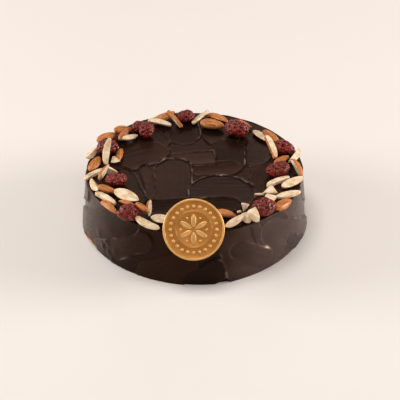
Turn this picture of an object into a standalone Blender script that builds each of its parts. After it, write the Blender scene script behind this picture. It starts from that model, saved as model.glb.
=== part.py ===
"""A round chocolate cake in dark ganache, topped with almonds, berries and a chocolate medallion.

The cake stands on z = 0 with its axis on z. Its front is -Y, where the medallion leans.
Lengths are in metres; the tables of strokes and toppings are in millimetres and degrees.
"""

import math
import random
from collections import namedtuple

import bmesh
import bpy
import numpy as np
from mathutils import Matrix, Vector, noise
from mathutils.bvhtree import BVHTree

MM = 0.001

# Points are sorted along this slant before they are merged, so that each build merges the same ones
SORT_AXIS = Vector((1.0, 0.37, 0.13))

# Edges that bend more than this are shaded sharp
SHARP_ANGLE = math.radians(38)

# The cake: an 18 cm sponge with about 3 mm of ganache round it
CAKE_HEIGHT = 0.049
BASE_RADIUS = 0.093
TOP_RADIUS = 0.091
RIM_ROUNDING = 0.0025
TOP_GRID = 150
SIDE_ROWS = 38
RIM_ROWS = 5
CAKE_TRIANGLES = 5000
STROKE_EDGE = 0.9
LIP_WIDTH = 0.9
SWIPE_HOLLOW = 0.3
RIM_LIP = 0.5
SPONGE_RECESS = 0.8
FLAT_RADIUS = TOP_RADIUS - RIM_ROUNDING
SIDE_TOP = CAKE_HEIGHT - RIM_ROUNDING
SIDE_LENGTH = 2 * math.pi * TOP_RADIUS

# The medallion: a disc that leans on the rim at the front
MEDALLION_RADIUS = 0.0250
MEDALLION_THICKNESS = 0.0034
MEDALLION_LEAN = math.radians(55)
MEDALLION_ABOVE_RIM = 0.0036
MEDALLION_BED = 0.0015
MEDALLION_SIDEWAYS = -0.0010
BED_MARGIN = 0.002
MEDALLION_SEGMENTS = 36
MEDALLION_EDGE = 0.0005
# The turned front from the edge inwards, as insets and rises: rim, floor, thin ring, floor
MEDALLION_STEPS = (
    (0.0006, MEDALLION_EDGE),
    (0.0010, 0.0),
    (0.0005, -0.0008),
    (0.0077, 0.0),
    (0.0003, 0.0004),
    (0.0006, 0.0),
    (0.0003, -0.0004),
)
FLOOR_HEIGHT = 0.0026
BEAD_COUNT = 24
BEAD_RING_RADIUS = 0.0187
BEAD_RADIUS = 0.0015
PETAL_COUNT = 6
PETAL_LENGTH = 0.0112
PETAL_WIDTH = 0.0046
PETAL_START = 0.0014
PIP_RADIUS = 0.0105

# Touching pieces keep this gap
GAP = 0.0003
SETTLE_GAP = 0.00035
LIFT_STEP = 0.0002
LIFTS = 12
SETTLE_TIPS = (-20, -14, -9, -4, 0, 4, 9, 14, 20)
SETTLE_LEANS = (-20, -10, 0, 10, 20)
STANDING_RISE = 45

# The map of heights on which the toppings settle
MAP_HALF_SIZE = 0.112
MAP_CELL = 0.0007

# An almond's width and thickness for its length
ALMOND_WIDTH_RATIO = 0.47
ALMOND_THICKNESS_RATIO = 0.33
ALMOND_SPREAD = 0.06

Stroke = namedtuple("Stroke", "start end half_width level tilt lip lip_angle square")
Dab = namedtuple("Dab", "along across radius height")
Nut = namedtuple("Nut", "kind x y yaw length rise roll")
Berry = namedtuple("Berry", "x y yaw width depth height")


def swipe(start, end, half_width, level, tilt, lip, lip_angle, square=False):
    """One pull of the palette knife: where it runs, its level, its rise per centimetre and its lip."""
    return Stroke(start, end, half_width, level, tilt, lip, lip_angle, square)


# Swipes on the top, in x and y from the centre; the later ones lie over the earlier
TOP_STROKES = (
    swipe((-54, 62), (-36, 44), 15, 0.0, (0.2, 0.1), 0.6, 0),
    swipe((16, 76), (23, 50), 15, 0.1, (0.2, -0.3), 0.7, -60),
    swipe((-12, 76), (-10, 55), 15, 0.5, (-0.1, 0.2), 1.5, 0),
    swipe((58, 44), (50, 17), 12, 0.1, (-0.3, -0.2), 1.1, -50),
    swipe((60, -4), (56, -50), 14, 0.0, (-0.3, 0.2), 0.6, 180),
    swipe((27, 30), (26, 8.5), 15.5, 0.5, (0.3, 0.3), 1.3, -25),
    swipe((4, 2), (28, 3), 10.5, 0.4, (0.2, 0.3), 0.9, -90),
    swipe((-24, 15), (17, 18), 10.5, 0.7, (0.2, -0.3), 1.0, 20, True),
    swipe((-78, 3), (-37, 26), 16, 0.9, (0.1, 0.2), 0.9, -50),
    swipe((-64, -10), (-51, -48), 14, 0.0, (0.3, -0.2), 1.2, 10),
    swipe((-41, 2), (-33, -42), 5.5, 0.2, (-0.3, -0.2), 1.4, 5),
    swipe((-17, -62), (-18, 2), 15.5, 0.5, (0.2, -0.2), 1.8, 45),
    swipe((20, -34), (24, -34), 25.5, 0.7, (-0.2, -0.2), 1.5, None),
    swipe((-32, -56), (27, -52), 11.5, 0.3, (0.1, 0.3), 0.9, 70),
)

# Swipes on the side, in the run round it from the front and the height; the back follows a rule
SIDE_STROKES = (
    swipe((-34, 2), (-12, 15), 15, 1.0, (0.3, -0.3), 0.9, 10),
    swipe((2, 4), (16, 12), 11, 1.3, (0.4, -0.4), 1.0, 20),
    swipe((-172, 20), (-126, 44), 12, 0.2, (0.5, -0.3), 1.1, -60),
    swipe((-77, 10), (-43, 35), 8.5, 0.4, (0.7, -0.4), 1.6, -60),
    swipe((-128, 8), (-60, 48), 13, 0.4, (-0.15, -0.4), 1.3, -60),
    swipe((45, -8), (34, 38), 15.5, 0.5, (-0.6, -0.5), 1.5, 180),
    swipe((64, 48), (80, 36), 9, 0.2, (0.6, -0.5), 0.9, 200),
    swipe((132, 44), (160, 22), 13, 0.0, (0.5, -0.4), 1.0, 180),
    swipe((70, 33), (126, 0), 12, 0.4, (0.25, -0.4), 1.2, 60),
    swipe((92, 12), (112, -2), 6, 0.5, (0.3, -0.5), 1.0, 60),
    swipe((37, 27), (59, 13.5), 8.5, 0.6, (0.8, -0.3), 1.3, 20),
)
BACK_STROKE_COUNT = 8
BACK_START = 170
BACK_STEP = 30
BACK_SEED = 4

# Lumps of ganache low on the left of the side
SIDE_DABS = (
    Dab(-87, 10, 3.6, 1.1),
    Dab(-82, 16, 4.2, 1.2),
    Dab(-80, 7, 3.2, 1.0),
    Dab(-75, 4, 3.0, 0.8),
    Dab(-72, 12, 4.5, 0.6),
    Dab(-92, 20, 4.0, 0.7),
)

# Where the ganache stops short of the base and the sponge shows
SPONGE_FROM = -124
SPONGE_TO = -95
SPONGE_HEIGHT = 6.5

# Each cut keeps what is behind a plane: its normal, and how far it lies from the middle,
# as shares of the almond's half length, half width and half thickness
CUTS = {
    "whole": (),
    "half": (((0, 0, 1), 0.05),),
    "blade": (((0, 1, 0), 0.24), ((0, -1, 0), 0.20)),
    "sliver": (((0, 1, 0), 0.24), ((0, -1, 0), 0.20), ((0, 0, 1), 0.35)),
    "strip": (((0, 1, 0.2), 0.10), ((0, -1, 0.1), 0.34)),
    "trimmed": (((0, 0, 1), 0.05), ((0, 1, 0), 0.42)),
    "side": (((0, -1, 0.15), -0.08),),
    "wedge": (((0, 0.8, 0.6), 0.05), ((0, -0.75, 0.65), 0.28)),
    "short": (((-1, 0.25, 0), 0.25), ((0, -1, 0.2), 0.10)),
    "chunk": (((1, 0.3, 0), 0.42), ((-1, 0.35, 0.2), 0.30), ((0, 0.1, 1), 0.45)),
    "shard": (((1, 0.5, 0.3), 0.40), ((-1, 0.6, -0.2), 0.25), ((0, -1, 0.4), 0.15)),
}
BLANCHED = {"half", "trimmed", "blade", "sliver", "strip", "wedge", "chunk", "shard", "short"}

# Berries, in the order in which they were set down
BERRIES = (
    Berry(-8, 76, 10, 15, 12, 9),
    Berry(-48, 60, 30, 12, 11, 9),
    Berry(-41, 51, 60, 14, 13, 12),
    Berry(36, 54, -25, 21, 17, 13),
    Berry(75, 26, -15, 19, 14, 11),
    Berry(-74, 25, 10, 18, 16, 13),
    Berry(69, -7, 20, 20, 14, 11),
    Berry(-65, -21, -10, 18, 14, 10),
    Berry(-53, -70, 10, 19, 16, 13),
    Berry(56, -64, 0, 19, 17, 14),
)

# Almonds and their pieces, in the order in which they were set down
NUTS = (
    Nut("wedge", -87, 22, 66, 20, 0, 0),
    Nut("half", -84, 7, 70, 21, 12, 150),
    Nut("side", -63, 19, 84, 20, 0, 60),
    Nut("shard", -67, 9, -30, 18, 0, 0),
    Nut("sliver", -73, 14, 80, 24, 28, 90),
    Nut("sliver", -84, -9, 46, 22, 0, 90),
    Nut("short", -74, -5, -4, 21, 0, 40),
    Nut("side", -75, -12, 62, 18, 0, 30),
    Nut("wedge", -83, -26, 108, 20, 0, 30),
    Nut("whole", -72, -34, -14, 17, 0, 0),
    Nut("sliver", -73, -45, -45, 24, 0, 90),
    Nut("half", -56, -43, -32, 24, 0, 0),
    Nut("side", -70, -58, -52, 22, 0, 60),
    Nut("side", -55, -56, -32, 18, 0, 30),
    Nut("side", -36, -67, 60, 16, 84, 0),
    Nut("whole", -42, -70, -30, 14, 0, 0),
    Nut("trimmed", -38, -82, -31, 23, 0, 0),
    Nut("half", -26, -76, -14, 20, 0, 0),
    Nut("whole", -75, 45, 38, 20, 0, 0),
    Nut("whole", -61, 55, 40, 20, 0, 0),
    Nut("whole", -60.5, 46.5, 56, 14, 0, 0),
    Nut("blade", -55, 43.5, 44, 18, 0, 80),
    Nut("side", -27, 77, 24, 22, 0, 180),
    Nut("sliver", -30, 67, -8, 21, 0, 90),
    Nut("sliver", -17, 70, -50, 21, 0, -140),
    Nut("half", 20, 80, -35, 21, 0, 150),
    Nut("whole", 15, 65, -17, 22, 0, 0),
    Nut("sliver", 5, 77, 52, 23, 14, 90),
    Nut("side", 44, 68, -43, 15, 0, 180),
    Nut("strip", 57, 49, -51, 22, 0, 60),
    Nut("half", 65, 48, -52, 21, 0, 180),
    Nut("whole", 73, 12, 40, 16, 0, 0),
    Nut("sliver", 64, 22, -70, 25, 0, 80),
    Nut("wedge", 83, 16, 68, 24, 0, 0),
    Nut("trimmed", 85, -3, -66, 21, 0, 160),
    Nut("sliver", 69, -20, 34, 23, 0, 90),
    Nut("strip", 81, -22, 38, 24, 0, 70),
    Nut("chunk", 62, -34, 0, 19, 0, 0),
    Nut("chunk", 61, -46, 60, 20, 0, 20),
    Nut("blade", 77, -38, 21, 22, 0, 90),
    Nut("whole", 72, -55, 50, 20, 0, 0),
    Nut("shard", 40, -58, 58, 20, 0, 0),
    Nut("chunk", 41, -73, 90, 20, 0, 0),
    Nut("chunk", 47, -75, 100, 22, 0, 0),
    Nut("half", 32.4, -79.5, 36, 20, 0, 0),
    Nut("whole", 25, -68, -16, 17, 0, 0),
    Nut("whole", -6, -71, 20, 20, 0, 0),
    Nut("half", 11, -71, -10, 20, 0, 180),
)


def clear_scene():
    """Remove what a new file holds."""
    for item in list(bpy.data.objects):
        bpy.data.objects.remove(item, do_unlink=True)


def finish(name, colour, roughness, metallic=0.0):
    """A plain material for one kind of piece."""
    material = bpy.data.materials.new(name)
    material.use_nodes = True
    shader = material.node_tree.nodes["Principled BSDF"]
    shader.inputs["Base Color"].default_value = (*colour, 1.0)
    shader.inputs["Roughness"].default_value = roughness
    shader.inputs["Metallic"].default_value = metallic
    return material


def add_object(name, bm, material):
    """Make a named object from a bmesh, shaded smooth with its sharp edges kept."""
    mesh = bpy.data.meshes.new(name)
    bm.to_mesh(mesh)
    bm.free()
    mesh.materials.append(material)
    mesh.shade_smooth()
    mesh.set_sharp_from_angle(angle=SHARP_ANGLE)
    item = bpy.data.objects.new(name, mesh)
    bpy.context.scene.collection.objects.link(item)
    return item


def smooth_step(low, high, value):
    """0 below low, 1 above high and a soft curve between."""
    share = min(max((value - low) / (high - low), 0.0), 1.0)
    return share * share * (3.0 - 2.0 * share)


def distance_outside(stroke, u, v):
    """How far a point lies outside a swipe's edge, and the point's place from its axis."""
    ax, ay = stroke.start
    bx, by = stroke.end
    dx = bx - ax
    dy = by - ay
    length = math.hypot(dx, dy)
    along = ((u - ax) * dx + (v - ay) * dy) / length
    across = ((v - ay) * dx - (u - ax) * dy) / length
    if stroke.square:
        past = max(along - length, -along)
        return max(past, abs(across) - stroke.half_width), along, across
    nearest = min(max(along, 0.0), length)
    return math.hypot(along - nearest, across) - stroke.half_width, along, across


def lip_share(stroke, u, v):
    """A swipe's lip is full on the side that the knife pushed to and low elsewhere, or full all round."""
    if stroke.lip_angle is None:
        return 1.0
    mid_u = (stroke.start[0] + stroke.end[0]) / 2
    mid_v = (stroke.start[1] + stroke.end[1]) / 2
    facing = math.atan2(v - mid_v, u - mid_u) - math.radians(stroke.lip_angle)
    return 0.15 + 0.85 * max(math.cos(facing), 0.0) ** 1.5


def wandered(u, v):
    """A point moved a little, so that the edges of swipes run unevenly."""
    broad_u = noise.noise(Vector((u / 11, v / 11, 3.0)))
    broad_v = noise.noise(Vector((u / 11, v / 11, 23.0)))
    close_u = noise.noise(Vector((u / 3.5, v / 3.5, 6.0)))
    close_v = noise.noise(Vector((u / 3.5, v / 3.5, 26.0)))
    return u + 1.3 * broad_u + 0.15 * close_u, v + 1.3 * broad_v + 0.15 * close_v


def swipe_level(stroke, u, v, along, across):
    """The height that a swipe leaves inside its edge: its level, tilt, hollow and fine ripples."""
    rise_u, rise_v = stroke.tilt
    away_u = u - (stroke.start[0] + stroke.end[0]) / 2
    away_v = v - (stroke.start[1] + stroke.end[1]) / 2
    hollow = SWIPE_HOLLOW * (across / stroke.half_width) ** 2
    ripple = 0.05 * noise.noise(Vector((along / 25, across / 3, stroke.level)))
    return stroke.level + (rise_u * away_u + rise_v * away_v) / 10 + hollow + ripple


def strokes_height(strokes, u, v, ground, period=0.0):
    """Height in millimetres that overlapping swipes leave at a point of the ground below them."""
    height = ground
    run, high = wandered(u, v)
    for stroke in strokes:
        place = run
        if period:
            place += period * round((stroke.start[0] - run) / period)
        outside, along, across = distance_outside(stroke, place, high)
        if outside > 4 * LIP_WIDTH:
            continue
        inside = 1.0 - smooth_step(-STROKE_EDGE, STROKE_EDGE, outside)
        height += (swipe_level(stroke, place, high, along, across) - height) * inside
        lip = stroke.lip * lip_share(stroke, place, high)
        lip *= max(0.6 + 1.1 * noise.noise(Vector((along / 7, across / 7, 9.0))), 0.0)
        height += lip * math.exp(-((outside / LIP_WIDTH) ** 2))
    return height


def back_strokes():
    """Swipes round the part of the side that lies behind, by a rule."""
    draw = random.Random(BACK_SEED)
    strokes = []
    for index in range(BACK_STROKE_COUNT):
        start = BACK_START + index * BACK_STEP
        low = draw.uniform(0, 14)
        high = low + draw.uniform(12, 34)
        rising = draw.random() < 0.5
        begin = (start, low if rising else high)
        end = (start + draw.uniform(20, 44), high if rising else low)
        tilt = (draw.uniform(-0.3, 0.3), draw.uniform(-0.6, 0.1))
        strokes.append(swipe(begin, end, draw.uniform(9, 14), draw.uniform(-0.1, 0.9), tilt,
                             draw.uniform(0.6, 1.2), draw.uniform(-60, 60)))
    return tuple(strokes)


def side_height(strokes, run, height, ground):
    """Relief of the side in millimetres: swipes, lumps and the short edge at the base."""
    relief = strokes_height(strokes, run, height, ground, SIDE_LENGTH / MM)
    for dab in SIDE_DABS:
        away = math.hypot(run - dab.along, height - dab.across) / dab.radius
        relief += dab.height * math.exp(-1.5 * away * away)
    bare = smooth_step(SPONGE_FROM, SPONGE_FROM + 8, run) - smooth_step(SPONGE_TO - 8, SPONGE_TO, run)
    edge = bare * (SPONGE_HEIGHT + 2.0 * noise.noise(Vector((run / 5, 0.0, 1.0))))
    return relief - SPONGE_RECESS * bare * (1.0 - smooth_step(edge - 1.2, edge, height))


def square_to_disc(x, y):
    """Move a point of the square from -1 to 1 into the round of radius 1, evenly."""
    if abs(x) < 1e-9 and abs(y) < 1e-9:
        return 0.0, 0.0
    if abs(x) > abs(y):
        angle = math.pi / 4 * (y / x)
        return x * math.cos(angle), x * math.sin(angle)
    angle = math.pi / 2 - math.pi / 4 * (x / y)
    return y * math.cos(angle), y * math.sin(angle)


def side_profile():
    """Radius and height of each row of points from the top's flat down to the base."""
    rows = []
    for row in range(1, RIM_ROWS + 1):
        angle = math.pi / 2 * (1 - row / RIM_ROWS)
        rows.append((FLAT_RADIUS + RIM_ROUNDING * math.cos(angle),
                     SIDE_TOP + RIM_ROUNDING * math.sin(angle)))
    for row in range(1, SIDE_ROWS + 1):
        share = row / SIDE_ROWS
        rows.append((TOP_RADIUS + (BASE_RADIUS - TOP_RADIUS) * share, SIDE_TOP * (1 - share)))
    return rows


def medallion_frame():
    """The middle of the medallion's back, and the way that its face looks."""
    facing = Vector((0, -math.sin(MEDALLION_LEAN), math.cos(MEDALLION_LEAN)))
    upward = Vector((0, math.cos(MEDALLION_LEAN), math.sin(MEDALLION_LEAN)))
    rim = Vector((0, -FLAT_RADIUS, SIDE_TOP)) + facing * RIM_ROUNDING
    centre = rim - facing * MEDALLION_BED + upward * MEDALLION_ABOVE_RIM
    centre.x = MEDALLION_SIDEWAYS
    return centre, facing


def press_medallion_bed(point):
    """Keep the ganache a gap clear of the medallion's back where it is pressed in."""
    centre, facing = medallion_frame()
    away = point - centre
    depth = away.dot(facing) + GAP
    spread = (away - facing * away.dot(facing)).length
    if depth <= 0 or spread > MEDALLION_RADIUS + BED_MARGIN:
        return point
    return point - facing * depth


def ganache_point(co, strokes):
    """Where the ganache lies over a point of the plain cake."""
    radius = math.hypot(co.x, co.y)
    out = 0.0
    up = 1.0
    if radius > FLAT_RADIUS + 1e-6:
        slope = math.atan2(max(co.z - SIDE_TOP, 0.0), radius - FLAT_RADIUS)
        out = math.cos(slope)
        up = math.sin(slope)
    ground = 0.35 * noise.noise(co / 0.03)
    run = math.atan2(co.x, -co.y) * TOP_RADIUS / MM
    relief = 0.0
    if up > 0.0:
        relief += up * up * strokes_height(TOP_STROKES, co.x / MM, co.y / MM, ground)
    if out > 0.0:
        relief += out * out * side_height(strokes, run, co.z / MM, ground)
    rim_share = math.sin(2.0 * math.atan2(up, out)) if out > 0.0 else 0.0
    relief += RIM_LIP * rim_share * (0.6 + 0.8 * noise.noise(Vector((run / 14, 5.0, 0.0))))
    radial = Vector((co.x, co.y, 0.0)).normalized()
    return press_medallion_bed(co + (radial * out + Vector((0, 0, up))) * relief * MM)


def build_cake(material):
    """The cake: a disc with a rounded rim, its ganache in relief, thinned to few triangles."""
    bm = bmesh.new()
    bmesh.ops.create_grid(bm, x_segments=TOP_GRID, y_segments=TOP_GRID, size=1.0)
    for vert in bm.verts:
        x, y = square_to_disc(vert.co.x, vert.co.y)
        vert.co = Vector((x * FLAT_RADIUS, y * FLAT_RADIUS, CAKE_HEIGHT))
    ring = [edge for edge in bm.edges if edge.is_boundary]
    for radius, height in side_profile():
        made = bmesh.ops.extrude_edge_only(bm, edges=ring)["geom"]
        row = {item for item in made if isinstance(item, bmesh.types.BMVert)}
        ring = [item for item in made if isinstance(item, bmesh.types.BMEdge)
                and item.verts[0] in row and item.verts[1] in row]
        for vert in row:
            radial = Vector((vert.co.x, vert.co.y)).normalized() * radius
            vert.co = Vector((radial.x, radial.y, height))
    strokes = SIDE_STROKES + back_strokes()
    for vert in bm.verts:
        height = vert.co.z
        vert.co = ganache_point(vert.co.copy(), strokes)
        if height < 1e-6:
            vert.co.z = 0.0
    bmesh.ops.recalc_face_normals(bm, faces=bm.faces)
    plain = add_object("cake_fine", bm, material)
    return thin_and_close(plain, material)


def thin_and_close(fine, material):
    """Thin the fine surface to the wanted triangles and close it with a flat base."""
    faces = 2 * len(fine.data.polygons)
    thin = fine.modifiers.new("thin", "DECIMATE")
    thin.ratio = CAKE_TRIANGLES / faces
    bpy.context.view_layer.update()
    seen = fine.evaluated_get(bpy.context.evaluated_depsgraph_get())
    bm = bmesh.new()
    bm.from_mesh(seen.to_mesh())
    seen.to_mesh_clear()
    bpy.data.objects.remove(fine, do_unlink=True)
    base = [edge for edge in bm.edges if edge.is_boundary]
    for edge in base:
        for vert in edge.verts:
            vert.co.z = 0.0
    bmesh.ops.holes_fill(bm, edges=base, sides=0)
    bmesh.ops.recalc_face_normals(bm, faces=bm.faces)
    return add_object("cake", bm, material)


def ring_step(bm, face, inset, rise):
    """Draw a round face in by an inset and lift it: one step of a turned profile."""
    bmesh.ops.inset_region(bm, faces=[face], thickness=inset, use_even_offset=True)
    bmesh.ops.translate(bm, verts=face.verts, vec=(0, 0, rise))


def medallion_blank():
    """The turned disc: a raised rim, a sunk floor and a thin ring round the middle."""
    bm = bmesh.new()
    made = bmesh.ops.create_circle(bm, cap_ends=True, segments=MEDALLION_SEGMENTS, radius=MEDALLION_RADIUS)
    face = made["verts"][0].link_faces[0]
    grown = bmesh.ops.extrude_face_region(bm, geom=[face])["geom"]
    bmesh.ops.translate(bm, verts=[item for item in grown if isinstance(item, bmesh.types.BMVert)],
                        vec=(0, 0, MEDALLION_THICKNESS - MEDALLION_EDGE))
    front = next(item for item in grown if isinstance(item, bmesh.types.BMFace))
    for inset, rise in MEDALLION_STEPS:
        ring_step(bm, front, inset, rise)
    bmesh.ops.recalc_face_normals(bm, faces=bm.faces)
    return bm


def add_dome(collection, material, place, size, turn, detail):
    """One low rounded form of the ornament, half sunk in the floor."""
    bm = bmesh.new()
    if detail:
        bmesh.ops.create_uvsphere(bm, u_segments=detail[0], v_segments=detail[1], radius=1.0,
                                  matrix=Matrix.Rotation(math.pi / 2, 4, "Y"))
    else:
        bmesh.ops.create_icosphere(bm, subdivisions=1, radius=1.0)
    bmesh.ops.scale(bm, verts=bm.verts, vec=size)
    bmesh.ops.rotate(bm, verts=bm.verts, cent=(0, 0, 0), matrix=Matrix.Rotation(turn, 3, "Z"))
    bmesh.ops.translate(bm, verts=bm.verts, vec=place)
    item = add_object("ornament", bm, material)
    bpy.context.scene.collection.objects.unlink(item)
    collection.objects.link(item)


def build_medallion(material):
    """The medallion: the turned disc with a ring of beads and a six-petalled rosette."""
    disc = add_object("medallion", medallion_blank(), material)
    ornament = bpy.data.collections.new("ornament")
    bpy.context.scene.collection.children.link(ornament)
    for index in range(BEAD_COUNT):
        turn = 2 * math.pi * index / BEAD_COUNT
        place = (BEAD_RING_RADIUS * math.cos(turn), BEAD_RING_RADIUS * math.sin(turn), FLOOR_HEIGHT)
        add_dome(ornament, material, place, (BEAD_RADIUS, BEAD_RADIUS, BEAD_RADIUS * 0.8), turn + 0.2, None)
    for index in range(PETAL_COUNT):
        turn = 2 * math.pi * index / PETAL_COUNT + math.pi / 2
        middle = PETAL_LENGTH / 2 + PETAL_START
        place = (middle * math.cos(turn), middle * math.sin(turn), FLOOR_HEIGHT)
        add_dome(ornament, material, place, (PETAL_LENGTH / 2, PETAL_WIDTH / 2, 0.0012), turn, (6, 6))
        turn += math.pi / PETAL_COUNT
        place = (PIP_RADIUS * math.cos(turn), PIP_RADIUS * math.sin(turn), FLOOR_HEIGHT)
        add_dome(ornament, material, place, (0.0011, 0.0011, 0.0010), turn, None)
    union = disc.modifiers.new("ornament", "BOOLEAN")
    union.operation = "UNION"
    union.operand_type = "COLLECTION"
    union.collection = ornament
    union.solver = "EXACT"
    bpy.context.view_layer.update()
    seen = disc.evaluated_get(bpy.context.evaluated_depsgraph_get())
    joined = bpy.data.meshes.new_from_object(seen)
    joined.shade_smooth()
    joined.set_sharp_from_angle(angle=SHARP_ANGLE)
    disc.modifiers.clear()
    disc.data = joined
    for item in list(ornament.objects):
        bpy.data.objects.remove(item, do_unlink=True)
    bpy.data.collections.remove(ornament)
    centre, _ = medallion_frame()
    disc.location = centre
    disc.rotation_euler = (MEDALLION_LEAN, 0, 0)
    return disc


def almond_form(kind, length, draw):
    """An almond or a cut piece of one: its long axis on x, its tip at +x, flat side up."""
    bm = bmesh.new()
    bmesh.ops.create_uvsphere(bm, u_segments=8, v_segments=7, radius=1.0,
                              matrix=Matrix.Rotation(math.pi / 2, 4, "Y"))
    bend = draw.uniform(-0.10, 0.10)
    for vert in bm.verts:
        x, y, z = vert.co
        narrow = 1.0 - 0.16 * x - 0.18 * x * x
        vert.co = Vector((x, y * narrow + bend * (1 - x * x), z * (1.0 - 0.12 * x)))
    for normal, offset in CUTS[kind]:
        direction = Vector(normal).normalized()
        shift = draw.uniform(-0.06, 0.06)
        geom = list(bm.verts) + list(bm.edges) + list(bm.faces)
        bmesh.ops.bisect_plane(bm, geom=geom, plane_co=direction * (offset + shift), plane_no=direction,
                               dist=1e-4, clear_outer=True)
        rim = [edge for edge in bm.edges if edge.is_boundary]
        bmesh.ops.holes_fill(bm, edges=rim, sides=0)
    bm.verts.sort(key=lambda vert: vert.co.dot(SORT_AXIS))
    bmesh.ops.remove_doubles(bm, verts=bm.verts, dist=0.02)
    width = length * ALMOND_WIDTH_RATIO * (1 + draw.uniform(-ALMOND_SPREAD, ALMOND_SPREAD))
    thickness = length * ALMOND_THICKNESS_RATIO * (1 + draw.uniform(-ALMOND_SPREAD, ALMOND_SPREAD))
    bmesh.ops.scale(bm, verts=bm.verts, vec=(length / 2, width / 2, thickness / 2))
    bmesh.ops.triangulate(bm, faces=bm.faces)
    bmesh.ops.recalc_face_normals(bm, faces=bm.faces)
    return bm


def berry_form(berry, draw):
    """A dried berry: an uneven flattened round covered in small drupelets."""
    bm = bmesh.new()
    bmesh.ops.create_icosphere(bm, subdivisions=2, radius=1.0)
    turn = Matrix.Rotation(draw.uniform(0, 6.28), 3, Vector((draw.random(), draw.random(), 1)).normalized())
    bmesh.ops.rotate(bm, verts=bm.verts, cent=(0, 0, 0), matrix=turn)
    seed = draw.uniform(0, 50)
    for vert in bm.verts:
        vert.co *= 0.93 + 0.16 * noise.noise(vert.co * 1.3 + Vector((seed, 0, 0)))
    bmesh.ops.poke(bm, faces=bm.faces, offset=0.11)
    half_sizes = (berry.width * MM / 2, berry.depth * MM / 2, berry.height * MM / 2)
    bmesh.ops.scale(bm, verts=bm.verts, vec=half_sizes)
    bmesh.ops.recalc_face_normals(bm, faces=bm.faces)
    return bm


def surface_samples(bm):
    """Points spread over a piece's surface, as an array."""
    points = [vert.co.copy() for vert in bm.verts]
    for face in bm.faces:
        a, b, c = (vert.co for vert in face.verts)
        points.append((a + b + c) / 3)
        for one, two in ((a, b), (b, c), (c, a)):
            points.append((one + two) / 2)
            points.append((a + b + c) / 6 + (one + two) / 4)
    return np.array([tuple(point) for point in points])


def tree_of(bm):
    """A search tree of a piece where it lies."""
    return BVHTree.FromBMesh(bm)


class Landing:
    """The height of all that has been set down, on a square map seen from above."""

    def __init__(self):
        self.count = int(2 * MAP_HALF_SIZE / MAP_CELL) + 1
        self.heights = np.full((self.count, self.count), -1.0)
        self.trees = []

    def cell(self, value):
        """The row or column of the map that a coordinate falls in."""
        return int(round((value + MAP_HALF_SIZE) / MAP_CELL))

    def add(self, tree, low, high):
        """Raise the map to the top of a piece inside the box that it fills."""
        self.trees.append(tree)
        columns = range(max(self.cell(low.x), 0), min(self.cell(high.x) + 1, self.count))
        rows = range(max(self.cell(low.y), 0), min(self.cell(high.y) + 1, self.count))
        down = Vector((0, 0, -1))
        for column in columns:
            x = column * MAP_CELL - MAP_HALF_SIZE
            for row in rows:
                y = row * MAP_CELL - MAP_HALF_SIZE
                place, _, _, _ = tree.ray_cast(Vector((x, y, 0.2)), down)
                if place is not None and place.z > self.heights[column, row]:
                    self.heights[column, row] = place.z

    def rest_height(self, points):
        """How far a cloud of points has to be lifted to lie just clear of the map."""
        cells = np.rint((points[:, :2] + MAP_HALF_SIZE) / MAP_CELL).astype(int)
        cells = np.clip(cells, 0, self.count - 1)
        below = self.heights[cells[:, 0], cells[:, 1]]
        return float(np.max(below - points[:, 2])) + SETTLE_GAP

    def clear(self, tree):
        """Whether a piece touches nothing that has been set down."""
        return not any(tree.overlap(other) for other in self.trees)


def turning(yaw, rise, roll):
    """Roll about the long axis, raise the tip, then turn on the cake."""
    return (Matrix.Rotation(math.radians(yaw), 3, "Z") @ Matrix.Rotation(-math.radians(rise), 3, "Y")
            @ Matrix.Rotation(math.radians(roll), 3, "X"))


def settle(bm, place, yaw, rise, roll, landing):
    """Set a piece down where it comes to rest lowest, tipping a little as it lands."""
    samples = surface_samples(bm)
    best = None
    stands = rise > STANDING_RISE
    for tip in (0,) if stands else SETTLE_TIPS:
        for lean in (0,) if stands else SETTLE_LEANS:
            matrix = turning(yaw, rise + tip, roll + lean)
            points = samples @ np.array(matrix).T
            points[:, 0] += place[0] * MM
            points[:, 1] += place[1] * MM
            lift = landing.rest_height(points)
            level = lift + float(points[:, 2].mean())
            if best is None or level < best[0]:
                best = (level, matrix, lift)
    _, matrix, lift = best
    move = Matrix.Translation((place[0] * MM, place[1] * MM, lift)) @ matrix.to_4x4()
    bmesh.ops.transform(bm, matrix=move, verts=bm.verts)
    for _ in range(LIFTS):
        if landing.clear(tree_of(bm)):
            break
        bmesh.ops.translate(bm, verts=bm.verts, vec=(0, 0, LIFT_STEP))
    low = Vector([min(vert.co[axis] for vert in bm.verts) for axis in range(3)])
    high = Vector([max(vert.co[axis] for vert in bm.verts) for axis in range(3)])
    landing.add(tree_of(bm), low, high)


def world_bmesh(item):
    """A finished object's mesh in the cake's own frame."""
    bm = bmesh.new()
    bm.from_mesh(item.data)
    bm.transform(item.matrix_world)
    return bm


def build_toppings(cake, medallion, skin, flesh, fruit):
    """Berries first, then the almonds, each resting on what lies below it."""
    landing = Landing()
    body = world_bmesh(cake)
    corner = Vector((MAP_HALF_SIZE, MAP_HALF_SIZE, 0))
    landing.add(tree_of(body), -corner, corner)
    body.free()
    bpy.context.view_layer.update()
    disc = world_bmesh(medallion)
    landing.trees.append(tree_of(disc))
    disc.free()
    for index, berry in enumerate(BERRIES, start=1):
        bm = berry_form(berry, random.Random(100 + index))
        settle(bm, (berry.x, berry.y), berry.yaw, 0, 0, landing)
        add_object(f"berry_{index:02d}", bm, fruit)
    for index, nut in enumerate(NUTS, start=1):
        bm = almond_form(nut.kind, nut.length * MM, random.Random(index))
        settle(bm, (nut.x, nut.y), nut.yaw, nut.rise, nut.roll, landing)
        add_object(f"almond_{index:02d}", bm, flesh if nut.kind in BLANCHED and nut.roll < 135 else skin)


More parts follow.
